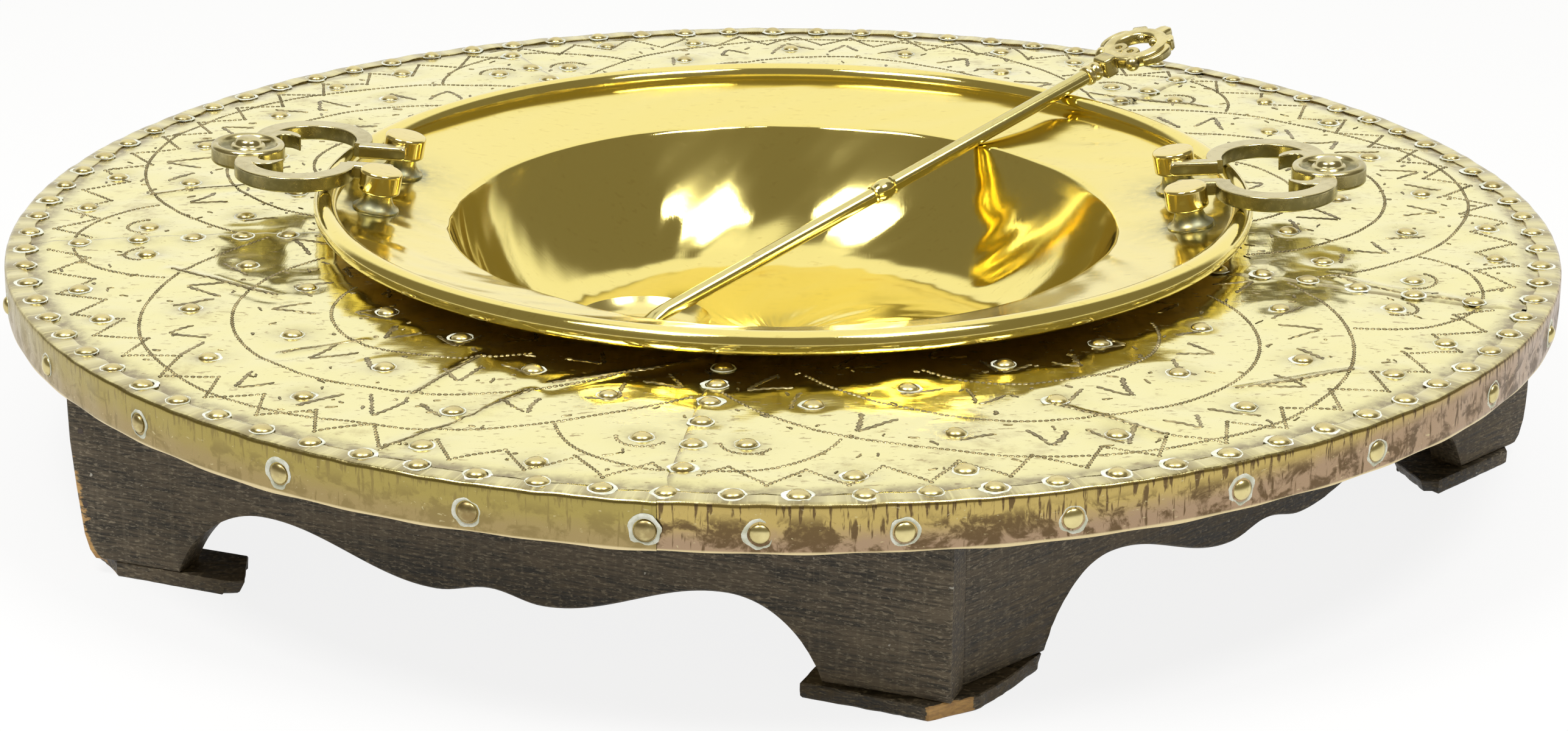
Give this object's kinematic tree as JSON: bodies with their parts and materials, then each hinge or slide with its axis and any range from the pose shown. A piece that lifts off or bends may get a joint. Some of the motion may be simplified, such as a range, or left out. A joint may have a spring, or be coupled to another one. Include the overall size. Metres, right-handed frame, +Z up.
{
  "type": "brazier on a low round stand",
  "caption": "Low brazier: a brass fire pan with hinged scroll handles and a shovel, hung in a round wooden stand with arched aprons, clad in nailed and punched brass sheet.",
  "frame": {"origin": "on the floor under the middle of the round stand", "axes": "+Z up along the pan's axis; -Y towards the front corner's side, so the right handle points along +X"},
  "size_m": [0.9518, 0.9555, 0.1953],
  "materials": {
    "top_wood": "dark stained",
    "apron_wood": "dark stained, worn edges",
    "shoe_wood": "dark stained, raw sawn corners",
    "nail_iron": "rough",
    "sheet_brass": "polished with grey patina",
    "band_brass": "tarnished",
    "nail_brass": "tarnished",
    "pan_brass": "bright polished",
    "wire_iron": "rough",
    "stud_brass": "polished, dull in the hollows",
    "handle_brass": "cast, grey-green in the hollows",
    "rod_brass": "bright polished",
    "finial_brass": "cast, dark in the hollows",
    "blade_brass": "polished"
  },
  "bodies": {
    "stand": {"top_board_1": "top_wood", "top_board_2": "top_wood", "top_board_3": "top_wood", "top_board_4": "top_wood", "top_board_5": "top_wood", "apron_1": "apron_wood", "apron_2": "apron_wood", "apron_3": "apron_wood", "apron_4": "apron_wood", "apron_5": "apron_wood", "shoe_1": "shoe_wood", "shoe_2": "shoe_wood", "shoe_3": "shoe_wood", "shoe_4": "shoe_wood", "shoe_5": "shoe_wood", "corner_nails": "nail_iron", "top_sheet_1": "sheet_brass", "top_sheet_2": "sheet_brass", "top_sheet_3": "sheet_brass", "top_sheet_4": "sheet_brass", "top_sheet_5": "sheet_brass", "left_band": "band_brass", "right_band": "band_brass", "flange_nails": "nail_brass", "band_nails": "nail_brass", "seam_nails": "nail_brass", "field_nails": "nail_brass"},
    "pan": {"fire_pan": "pan_brass", "rim_wire": "wire_iron", "left_near_stud": "stud_brass", "left_far_stud": "stud_brass", "right_near_stud": "stud_brass", "right_far_stud": "stud_brass", "stud_washers": "stud_brass"},
    "left_bow": {"left_handle": "handle_brass"},
    "right_bow": {"right_handle": "handle_brass"},
    "shovel": {"shovel_rod": "rod_brass", "shovel_finial": "finial_brass", "shovel_blade": "blade_brass", "blade_rivets": "blade_brass"}
  },
  "joints": [
    {"name": "pan_lift", "type": "slide", "parent": "stand", "child": "pan", "axis": [0, 0, 1], "range_m": [0, 0.15]},
    {"name": "left_handle_swing", "type": "hinge", "parent": "pan", "child": "left_bow", "pos_m": [-0.2454, 0.01716, 0.16384], "axis": [0.0698, 0.9976, 0], "range_deg": [0, 195]},
    {"name": "right_handle_swing", "type": "hinge", "parent": "pan", "child": "right_bow", "pos_m": [0.24599, 0.00215, 0.16384], "axis": [0.0087, -1, 0], "range_deg": [0, 195]},
    {"name": "shovel_lift", "type": "slide", "parent": "pan", "child": "shovel", "axis": [0, 0, 1], "range_m": [0, 0.15]}
  ]
}
